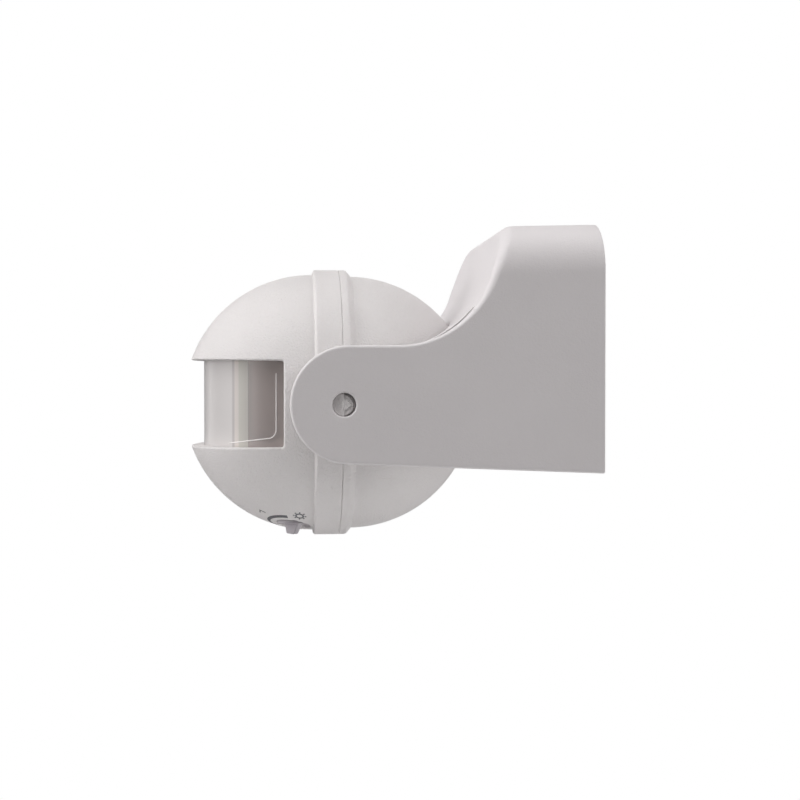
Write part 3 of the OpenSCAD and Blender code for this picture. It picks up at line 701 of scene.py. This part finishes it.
def on_ball(points):
    """Plan points (x, y) set on the underside of the front half of the ball: outer and inner copies."""
    p = np.asarray(points, float)
    layers = []
    for r in (FRONT_R + MARK_LIFT, FRONT_R - MARK_DEPTH):
        z = -np.sqrt(r * r - p[:, 0] ** 2 - (p[:, 1] + COLLAR_FRONT) ** 2)
        layers.append(np.column_stack([p, z]))
    return layers


def ribbon(left, right):
    """A thin closed strip that hugs the ball between two plan polylines of equal length."""
    n = len(left)
    outer_a, inner_a = on_ball(left)
    outer_b, inner_b = on_ball(right)
    points = np.concatenate([outer_a, outer_b, inner_a, inner_b])
    faces = []
    for i in range(n - 1):
        faces.append([i, i + 1, n + i + 1, n + i])
        faces.append([2 * n + i, 3 * n + i, 3 * n + i + 1, 2 * n + i + 1])
        faces.append([i, 2 * n + i, 2 * n + i + 1, i + 1])
        faces.append([n + i, n + i + 1, 3 * n + i + 1, 3 * n + i])
    faces.append([0, n, 3 * n, 2 * n])
    faces.append([n - 1, 3 * n - 1, 4 * n - 1, 2 * n - 1])
    return points, np.array(faces)


def arc_points(centre, r, start, end, steps=40):
    """Plan points on an arc, angles in degrees; r may be one radius or one per point."""
    a = np.radians(np.linspace(start, end, steps))
    return np.column_stack([centre[0] + r * np.cos(a), centre[1] + r * np.sin(a)])


def tapered_arc(centre, r, start, end, thin, thick):
    """An arc that grows from thin to thick, which shows which way the setting grows."""
    width = np.linspace(thin, thick, 40) / 2
    return ribbon(arc_points(centre, r - width, start, end), arc_points(centre, r + width, start, end))


def ring(centre, inner, outer):
    """A ring cut at one thin place."""
    return ribbon(arc_points(centre, inner, 0, 359.5, 49), arc_points(centre, outer, 0, 359.5, 49))


def stroke(start, end, width):
    """A straight stroke between two plan points."""
    a, b = np.array(start, float), np.array(end, float)
    side = np.array([-(b - a)[1], (b - a)[0]]) / np.linalg.norm(b - a) * width / 2
    line = np.linspace(a, b, 4)
    return ribbon(line - side, line + side)


def merged(name, parts):
    """One object from several sets of points and faces."""
    points, faces, start = [], [], 0
    for p, f in parts:
        points.append(p)
        faces.append(f + start)
        start += len(p)
    obj = mesh_object(name, np.concatenate(points), np.concatenate(faces))
    work = bmesh.new()
    work.from_mesh(obj.data)
    bmesh.ops.recalc_face_normals(work, faces=work.faces)
    work.to_mesh(obj.data)
    work.free()
    return obj


def sun(centre, r):
    """A ring with eight rays."""
    parts = [ring(centre, r * 0.42, r * 0.66)]
    for turn in range(8):
        a = math.radians(turn * 45)
        ray = np.array([math.cos(a), math.sin(a)])
        parts.append(stroke(np.array(centre) + ray * r * 0.74, np.array(centre) + ray * r, r * 0.2))
    return parts


def moon(centre, r):
    """A crescent that opens towards the front."""
    back = arc_points(centre, r, -80, 80)
    a = np.radians(np.linspace(-80, 80, 40))
    front = np.column_stack([centre[0] + r * 0.35 * np.cos(a), centre[1] + r * np.sin(a)])
    return [ribbon(front, back)]


def setting_marks():
    """Tapered arcs and generic signs around both knobs."""
    lux = (KNOB_X, KNOB_Y)
    time = (-KNOB_X, KNOB_Y)
    lux_parts = [tapered_arc(lux, 6.4, -15, -165, 1.25, 0.3)]
    lux_parts += sun((lux[0] + 7.6, lux[1] + 1.4), 1.7)
    lux_parts += moon((lux[0] - 6.6, lux[1] + 1.2), 1.1)
    lux_parts += [stroke((13.1, -20.3), (14.6, -20.3), 0.25), stroke((14.5, -20.3), (14.5, -18.9), 0.25)]
    time_parts = [tapered_arc(time, 6.4, -165, -15, 1.25, 0.3)]
    for x in (-7.4, 7.4):
        time_parts.append(ring((time[0] + x, time[1] + 1.6), 1.0, 1.35))
        time_parts.append(stroke((time[0] + x, time[1] + 1.6), (time[0] + x, time[1] + 0.9), 0.3))
    return lux_parts, time_parts


# ---------------------------------------------------------------- materials

def new_material(name):
    """An empty node material with its output."""
    material = bpy.data.materials.new(name)
    material.use_nodes = True
    nodes = material.node_tree.nodes
    nodes.clear()
    return material, nodes, material.node_tree.links, nodes.new("ShaderNodeOutputMaterial")


def maths(nodes, links, operation, a, b):
    """One arithmetic node; each input is a socket or a number."""
    node = nodes.new("ShaderNodeMath")
    node.operation = operation
    for socket, value in zip(node.inputs, (a, b)):
        if isinstance(value, (int, float)):
            socket.default_value = value
        else:
            links.new(value, socket)
    return node.outputs[0]


def noise(nodes, links, where, scale, detail=2.0, rough=0.5):
    """A noise texture in object space; scale is in features per metre."""
    texture = nodes.new("ShaderNodeTexNoise")
    texture.inputs["Scale"].default_value = scale
    texture.inputs["Detail"].default_value = detail
    texture.inputs["Roughness"].default_value = rough
    links.new(where.outputs["Object"], texture.inputs["Vector"])
    return texture.outputs["Fac"]


def remap(nodes, links, value, low, high, to_low, to_high):
    """A value moved from one range to another."""
    node = nodes.new("ShaderNodeMapRange")
    for key, v in (("From Min", low), ("From Max", high), ("To Min", to_low), ("To Max", to_high)):
        node.inputs[key].default_value = v
    links.new(value, node.inputs["Value"])
    return node.outputs["Result"]


def edge_mask(nodes, links, radius):
    """Near 1 on sharp edges and 0 on flat areas."""
    bevel = nodes.new("ShaderNodeBevel")
    bevel.samples = 4
    bevel.inputs["Radius"].default_value = radius
    geometry = nodes.new("ShaderNodeNewGeometry")
    dot = nodes.new("ShaderNodeVectorMath")
    dot.operation = "DOT_PRODUCT"
    links.new(bevel.outputs["Normal"], dot.inputs[0])
    links.new(geometry.outputs["Normal"], dot.inputs[1])
    return remap(nodes, links, dot.outputs["Value"], 0.995, 0.9, 0, 1)


def surface(name, colour, rough, grain=0.35, depth=0.008, tint=0.02, wear_and_sheen=0.06, metal=0.0, coat=0.0,
            rough_swing=0.08):
    """A moulded or plated surface: fine grain, slow colour and gloss changes, and lighter edges that are partly
    rubbed wear and partly a painted highlight.

    grain is the size of the texture's features and depth their height, both in millimetres.
    """
    material, nodes, links, output = new_material(name)
    shader = nodes.new("ShaderNodeBsdfPrincipled")
    where = nodes.new("ShaderNodeTexCoord")
    slow = noise(nodes, links, where, 60, 3)
    fine = noise(nodes, links, where, 1 / (grain * MM), 3, 0.6)
    mix = nodes.new("ShaderNodeMix")
    mix.data_type = "RGBA"
    mix.inputs["A"].default_value = (*[c * (1 - tint) for c in colour], 1)
    mix.inputs["B"].default_value = (*[min(1, c * (1 + tint)) for c in colour], 1)
    links.new(slow, mix.inputs["Factor"])
    # Painted highlight and wear: sharp edges found by the bevel mask are mixed towards a lighter colour, partly
    # slight rubbing and partly the highlight that edges catch.
    worn_and_sheen = nodes.new("ShaderNodeMix")
    worn_and_sheen.data_type = "RGBA"
    worn_and_sheen.inputs["B"].default_value = (*[min(1, c + wear_and_sheen * (1 - c) + wear_and_sheen * 0.3) for c in colour], 1)
    links.new(mix.outputs["Result"], worn_and_sheen.inputs["A"])
    mask = edge_mask(nodes, links, 0.5 * MM)
    links.new(mask, worn_and_sheen.inputs["Factor"])
    links.new(worn_and_sheen.outputs["Result"], shader.inputs["Base Color"])
    swing = remap(nodes, links, slow, 0.3, 0.7, rough - rough_swing, rough + rough_swing)
    links.new(swing, shader.inputs["Roughness"])
    shader.inputs["Metallic"].default_value = metal
    shader.inputs["Coat Weight"].default_value = coat
    bump = nodes.new("ShaderNodeBump")
    bump.inputs["Strength"].default_value = 1
    bump.inputs["Distance"].default_value = depth * MM
    links.new(fine, bump.inputs["Height"])
    links.new(bump.outputs["Normal"], shader.inputs["Normal"])
    links.new(shader.outputs["BSDF"], output.inputs["Surface"])
    return material


# Degrees round the lens from its middle, and the colour there. The thin dark bands near 44 and 54.5 degrees are
# painted shade at the facet steps, and the darker side panes past 55 degrees are partly the sheet's tint and
# partly painted shade.
LENS_TINTS_AND_SHADE = (
    (0.0, (0.93, 0.90, 0.89)),
    (43.6, (0.92, 0.89, 0.88)),
    (44.2, (0.72, 0.68, 0.67)),
    (45.2, (0.72, 0.68, 0.67)),
    (46.0, (0.92, 0.86, 0.82)),
    (48.2, (0.90, 0.84, 0.80)),
    (48.8, (0.74, 0.72, 0.66)),
    (54.5, (0.66, 0.63, 0.59)),
    (55.0, (0.74, 0.67, 0.65)),
    (90.0, (0.78, 0.72, 0.70)),
)


def lens_tint_and_shade(nodes, links, where):
    """Colour by the angle round the lens: each upright row of facets has its own slight tint, with painted shade
    in thin dark lines at the facet steps and in the darker side panes.
    """
    split = nodes.new("ShaderNodeSeparateXYZ")
    links.new(where.outputs["Object"], split.inputs[0])
    ahead = maths(nodes, links, "SUBTRACT", float(PIVOT[1]) - COLLAR_FRONT * MM, split.outputs["Y"])
    beside = maths(nodes, links, "ABSOLUTE", split.outputs["X"], 0.0)
    angle = maths(nodes, links, "ARCTAN2", beside, ahead)
    ramp = nodes.new("ShaderNodeValToRGB")
    links.new(maths(nodes, links, "DIVIDE", angle, math.pi / 2), ramp.inputs[0])
    stops = ramp.color_ramp.elements
    while len(stops) < len(LENS_TINTS_AND_SHADE):
        stops.new(0.5)
    for stop, (degrees, colour) in zip(stops, LENS_TINTS_AND_SHADE):
        stop.position = degrees / 90
        stop.color = (*colour, 1)
    return ramp.outputs["Color"]


def milky(name, clear, rough, milk):
    """A thin polyethylene sheet: part diffuse, part glowing through, part see-through, with a soft gloss."""
    material, nodes, links, output = new_material(name)
    where = nodes.new("ShaderNodeTexCoord")
    # This colour carries painted shade: dark lines at the facet steps and a darker tone on the side panes.
    colour = lens_tint_and_shade(nodes, links, where)
    fine = noise(nodes, links, where, 900, 2)
    bump = nodes.new("ShaderNodeBump")
    bump.inputs["Distance"].default_value = 0.004 * MM
    links.new(fine, bump.inputs["Height"])
    body = nodes.new("ShaderNodeBsdfDiffuse")
    glow = nodes.new("ShaderNodeBsdfTranslucent")
    gloss = nodes.new("ShaderNodeBsdfGlossy")
    slow = noise(nodes, links, where, 80, 2)
    links.new(remap(nodes, links, slow, 0.3, 0.7, rough - 0.03, rough + 0.03), gloss.inputs["Roughness"])
    through = nodes.new("ShaderNodeBsdfTransparent")
    for node in (body, glow, through):
        links.new(colour, node.inputs["Color"])
    for node in (body, glow, gloss):
        links.new(bump.outputs["Normal"], node.inputs["Normal"])
    fresnel = nodes.new("ShaderNodeFresnel")
    fresnel.inputs["IOR"].default_value = 1.5
    milk_mix = nodes.new("ShaderNodeMixShader")
    milk_mix.inputs[0].default_value = milk
    links.new(body.outputs[0], milk_mix.inputs[1])
    links.new(glow.outputs[0], milk_mix.inputs[2])
    clear_mix = nodes.new("ShaderNodeMixShader")
    clear_mix.inputs[0].default_value = clear
    links.new(milk_mix.outputs[0], clear_mix.inputs[1])
    links.new(through.outputs[0], clear_mix.inputs[2])
    gloss_mix = nodes.new("ShaderNodeMixShader")
    links.new(fresnel.outputs[0], gloss_mix.inputs[0])
    links.new(clear_mix.outputs[0], gloss_mix.inputs[1])
    links.new(gloss.outputs[0], gloss_mix.inputs[2])
    links.new(gloss_mix.outputs[0], output.inputs["Surface"])
    return material


MATERIALS = {
    "shell_plastic": surface("ball_shell", (0.83, 0.805, 0.80), 0.37, grain=0.5, depth=0.3, tint=0.02),
    "bracket_plastic": surface("bracket", (0.775, 0.747, 0.753), 0.42, grain=0.4, depth=0.1, tint=0.02),
    "inner_plastic": surface("inner_parts", (0.72, 0.70, 0.67), 0.45, grain=0.5, depth=0.004),
    "knob_plastic": surface("knobs", (0.46, 0.43, 0.46), 0.45, grain=0.3, depth=0.006, tint=0.05),
    "black_rubber": surface("rubber", (0.03, 0.03, 0.032), 0.75, grain=0.3, depth=0.01, tint=0.1),
    "grey_sheath": surface("sheath", (0.12, 0.12, 0.125), 0.5, grain=0.8, depth=0.01, tint=0.08),
    "lead_insulation": surface("leads", (0.18, 0.08, 0.04), 0.4, grain=0.8, depth=0.005),
    "zinc_steel": surface("zinc", (0.62, 0.62, 0.6), 0.3, grain=0.2, depth=0.003, metal=1.0, tint=0.06),
    "brass": surface("brass", (0.7, 0.5, 0.2), 0.3, grain=0.2, depth=0.003, metal=1.0, tint=0.06),
    "circuit_board": surface("solder_mask", (0.02, 0.12, 0.05), 0.35, grain=1.2, depth=0.01, coat=0.3,
                             tint=0.15),
    "sensor_can": surface("can", (0.65, 0.63, 0.58), 0.28, grain=0.3, depth=0.002, metal=1.0),
    "sensor_filter": surface("filter", (0.03, 0.015, 0.02), 0.15, grain=1, depth=0.001, coat=0.5),
    "led_plastic": surface("led", (0.55, 0.03, 0.02), 0.15, grain=1, depth=0.001, coat=0.5),
    "component_blue": surface("blue_case", (0.03, 0.08, 0.32), 0.35, grain=0.6, depth=0.006),
    "component_red": surface("red_case", (0.35, 0.05, 0.03), 0.3, grain=1, depth=0.01, coat=0.3),
    "component_black": surface("black_case", (0.025, 0.025, 0.03), 0.45, grain=0.3, depth=0.008),
    "component_cream": surface("cream_case", (0.62, 0.5, 0.3), 0.4, grain=0.5, depth=0.005),
}
LENS_MILK = milky("lens_milk", 0.04, 0.32, 0.3)
LENS_PANE = milky("lens_pane", 0.5, 0.12, 0.3)
BEAD = surface("pane_bead", (0.86, 0.83, 0.82), 0.2, grain=0.5, depth=0.001)
# Painted light: the window rim is inner plastic, given this lighter colour to stand in for light its shaded place
# behind the lens doesn't get.
RIM_PAINTED_LIGHT = surface("window_rim_lightened", (0.93, 0.91, 0.89), 0.35, grain=0.5, depth=0.003)
PRINT = surface("print", (0.1, 0.1, 0.11), 0.5, grain=0.3, depth=0.005)

# ---------------------------------------------------------------- pieces

SLOTS = {part["node"]: part["material_slot"] for part in frame["record"]["subparts"]}
MEDIUM, SMALL, FINE = 0.3, 0.2, 0.11
PIN_CELL, BUSH_CELL, RIM_CELL = 0.13, 0.16, 0.22
SHELL_CELL = (0.42, 0.2, 0.42)
HOUSING_CELL = (0.3, 0.42, 0.42)


def build_bracket():
    """The bracket's own pieces: housing, wall plate, screws and grommet."""
    housing = carved("bracket_cover", housing_field, housing_low, housing_high, cell(HOUSING_CELL))
    place(housing, "bracket", MATERIALS["bracket_plastic"], "bracket_plastic", "bracket_housing")
    plate = carved("back_plate", plate_field, plate_low, plate_high, cell(MEDIUM))
    place(plate, "bracket", MATERIALS["inner_plastic"], "inner_plastic", "wall_plate")
    low, high = span("housing_screws")
    screw = surface_nets(housing_screw_field, (-2.9, -2.9, low[2]), (2.9, 2.9, high[2]), cell(FINE))
    spots = [(side * HOUSING_SCREW_X, HOUSING_SCREW_Y, 0) for side in (-1, 1)]
    screws = repeated("cover_screws", screw, spots)
    place(screws, "bracket", MATERIALS["zinc_steel"], "zinc_steel", "housing_screws")
    grommet = carved("entry_grommet", grommet_field, *span("cable_grommet"), cell(SMALL))
    place(grommet, "bracket", MATERIALS["black_rubber"], "black_rubber", "cable_grommet")


def repeated(name, piece, spots):
    """One object from copies of a mesh set at several places."""
    points, faces, normals = piece
    count = len(points)
    return mesh_object(
        name,
        np.concatenate([points + np.array(spot) for spot in spots]),
        np.concatenate([faces + i * count for i in range(len(spots))]),
        np.concatenate([normals] * len(spots)),
    )


def pivot_pins(name, half):
    """The pin halves of both sides that belong to one shell."""
    low = (TRUNNION_ROOT, min(0, half * BOSS_R), -BOSS_R)
    high = (PIN_END, max(0, half * BOSS_R), BOSS_R)
    points, faces, normals = surface_nets(lambda x, y, z: trunnion(x, y, z, half), low, high, cell(PIN_CELL))
    flip = np.array([-1, 1, 1])
    return mesh_object(
        name,
        np.concatenate([points, points * flip]),
        np.concatenate([faces, faces[:, ::-1] + len(points)]),
        np.concatenate([normals, normals * flip]),
    )


def build_head():
    """The ball's two halves, its screws, lens, cable bush and printed marks."""
    front = carved("ball_front", front_field, front_low, front_high, cell(SHELL_CELL))
    place(front, "head", MATERIALS["shell_plastic"], "shell_plastic", "front_shell")
    rear = carved("ball_rear", rear_field, rear_low, rear_high, cell(SHELL_CELL))
    place(rear, "head", MATERIALS["shell_plastic"], "shell_plastic", "rear_shell")
    for half, name in ((-1, "pins_front"), (1, "pins_rear")):
        place(pivot_pins(name, half), "head", MATERIALS["shell_plastic"], "shell_plastic")
    low, high = span("shell_screws")
    screw = surface_nets(shell_screw_field, (-2.8, low[1], -2.8), (2.8, high[1], 2.8), cell(FINE))
    screws = repeated("ball_screws", screw, [(x, 0, z) for x, z in SCREWS])
    place(screws, "head", MATERIALS["zinc_steel"], "zinc_steel", "shell_screws")
    window, pane = lens_sheet()
    place(window, "head", LENS_MILK, "lens_plastic", "lens")
    window.data.materials.append(LENS_PANE)
    window.data.polygons.foreach_set("material_index", pane)
    place(lens_beads(), "head", BEAD, "lens_plastic")
    # The rim wears the lightened colour, a painted brightening of the inner plastic where it sits in shade behind
    # the lens.
    rim = carved("window_rim_lightened", lens_frame_field, *span("lens_frame"), cell(RIM_CELL))
    place(rim, "head", RIM_PAINTED_LIGHT, "inner_plastic", "lens_frame")
    bush = carved("cord_bush", bush_field, *span("cable_bush"), cell(BUSH_CELL))
    place(bush, "head", MATERIALS["black_rubber"], "black_rubber", "cable_bush")
    lux_parts, time_parts = setting_marks()
    for name, parts in (("lux_marks", lux_parts), ("time_marks", time_parts)):
        place(merged(name, parts), "head", PRINT, "component_black")


def build_knobs():
    """The two setting knobs."""
    for side, name, body, node in ((1, "lux_dial_knob", "lux_dial", "lux_knob"),
                                   (-1, "time_dial_knob", "time_dial", "time_knob")):
        knob = carved(name, lambda x, y, z, side=side: knob_field(x, y, z, side), *span(node), cell(FINE))
        place(knob, body, MATERIALS["knob_plastic"], "knob_plastic", node)


def dress_cad_nodes():
    """Gives every CAD node that is still shown its material."""
    for name, node in frame["nodes"].items():
        if node.hide_render:
            continue
        node.data.materials.clear()
        node.data.materials.append(MATERIALS[SLOTS[name]])


# ---------------------------------------------------------------- stage

FLOOR_Z = -0.32


def sweep():
    """A pale floor that curves up into a backdrop, far below and behind the object."""
    width, near, far, height, bend = 6.0, 2.5, -2.2, 3.2, 1.0
    profile = [(near, FLOOR_Z)]
    for i in range(25):
        a = math.pi / 2 * i / 24
        profile.append((far + bend - bend * math.sin(a), FLOOR_Z + bend - bend * math.cos(a)))
    profile.append((far, FLOOR_Z + height))
    mesh = bpy.data.meshes.new("floor")
    points = [(x, y, z) for x, z in profile for y in (-width / 2, width / 2)]
    faces = [(2 * i, 2 * i + 1, 2 * i + 3, 2 * i + 2) for i in range(len(profile) - 1)]
    mesh.from_pydata(points, [], faces)
    mesh.shade_smooth()
    floor = bpy.data.objects.new("floor", mesh)
    bpy.context.scene.collection.objects.link(floor)
    material, nodes, links, output = new_material("floor")
    shader = nodes.new("ShaderNodeBsdfDiffuse")
    shader.inputs["Color"].default_value = (0.7, 0.7, 0.7, 1)
    glow = nodes.new("ShaderNodeEmission")
    glow.inputs["Color"].default_value = (1, 1, 1, 1)
    glow.inputs["Strength"].default_value = 1.0
    path = nodes.new("ShaderNodeLightPath")
    mix = nodes.new("ShaderNodeMixShader")
    links.new(path.outputs["Is Camera Ray"], mix.inputs[0])
    links.new(shader.outputs[0], mix.inputs[1])
    links.new(glow.outputs[0], mix.inputs[2])
    links.new(mix.outputs[0], output.inputs["Surface"])
    mesh.materials.append(material)
    floor.visible_diffuse = False
    floor.visible_glossy = False
    floor.visible_shadow = False


# Brightness from every direction, then broad lobes: where each comes from and how bright it is
WORLD_BASE = 0.05
WORLD_LOBES = (
    ((0.5, -0.35, 0.8), 1.3),
    ((-0.1, -0.8, 0.6), 2.6),
    ((0.3, 0.8, 0.6), 3.3),
    ((0.1, 0.0, -1.0), 2.5),
    ((0.2, -1.0, 0.1), 3.8),
    ((0.0, 0.0, 1.0), 1.8),
    ((0.0, 0.7, -0.7), 2.9),
    ((1.0, 0.0, 0.0), 0.2),
    ((-1.0, 0.2, 0.1), 0.9),
)
LOBE_POWER = 14


def world_light():
    """Soft studio light from all round, made of broad lobes."""
    world = bpy.data.worlds.new("studio")
    bpy.context.scene.world = world
    world.use_nodes = True
    nodes, links = world.node_tree.nodes, world.node_tree.links
    nodes.clear()
    output = nodes.new("ShaderNodeOutputWorld")
    background = nodes.new("ShaderNodeBackground")
    background.inputs["Color"].default_value = (1, 0.985, 0.985, 1)
    where = nodes.new("ShaderNodeTexCoord")
    strength = WORLD_BASE
    for direction, bright in WORLD_LOBES:
        dot = nodes.new("ShaderNodeVectorMath")
        dot.operation = "DOT_PRODUCT"
        dot.inputs[1].default_value = Vector(direction).normalized()
        links.new(where.outputs["Generated"], dot.inputs[0])
        facing = maths(nodes, links, "MAXIMUM", dot.outputs["Value"], 0.0)
        lobe = maths(nodes, links, "POWER", facing, LOBE_POWER)
        strength = maths(nodes, links, "ADD", strength, maths(nodes, links, "MULTIPLY", lobe, bright))
    links.new(strength, background.inputs["Strength"])
    backdrop = nodes.new("ShaderNodeBackground")
    backdrop.inputs["Color"].default_value = (1, 1, 1, 1)
    path = nodes.new("ShaderNodeLightPath")
    mix = nodes.new("ShaderNodeMixShader")
    links.new(path.outputs["Is Camera Ray"], mix.inputs[0])
    links.new(background.outputs[0], mix.inputs[1])
    links.new(backdrop.outputs[0], mix.inputs[2])
    links.new(mix.outputs[0], output.inputs["Surface"])


def lamp(name, place_at, aim, width, height, power):
    """A soft light that faces a point; lengths are in metres and power in watts."""
    data = bpy.data.lights.new(name, "AREA")
    data.shape = "RECTANGLE"
    data.size = width
    data.size_y = height
    data.energy = power
    obj = bpy.data.objects.new(name, data)
    bpy.context.scene.collection.objects.link(obj)
    obj.location = place_at
    obj.rotation_euler = (Vector(aim) - Vector(place_at)).to_track_quat("-Z", "Y").to_euler()
    return obj


CAMERA_AT = (0.3490, -0.0791, -0.00815)
CAMERA_AIM = (0.0, -0.04635, -0.01345)
CAMERA_LENS = 58.9


def camera():
    """The camera at the viewpoint, level, on the tilt axis side of the object."""
    data = bpy.data.cameras.new("camera")
    data.lens = CAMERA_LENS
    data.sensor_width = 36
    data.clip_start = 0.01
    data.clip_end = 20
    obj = bpy.data.objects.new("camera", data)
    bpy.context.scene.collection.objects.link(obj)
    obj.location = CAMERA_AT
    obj.rotation_euler = (Vector(CAMERA_AIM) - Vector(CAMERA_AT)).to_track_quat("-Z", "Y").to_euler()
    bpy.context.scene.camera = obj


build_bracket()
build_head()
build_knobs()
dress_cad_nodes()
sweep()
world_light()
lamp("key", (0.3, -0.4, 0.7), (0, -0.06, 0), 0.3, 0.3, 0.4)
lamp("strip", (-0.7, -0.8, 0.0), (0, -0.08, -0.01), 0.06, 0.84, 0.6)
camera()
bpy.context.scene.view_settings.view_transform = "Standard"
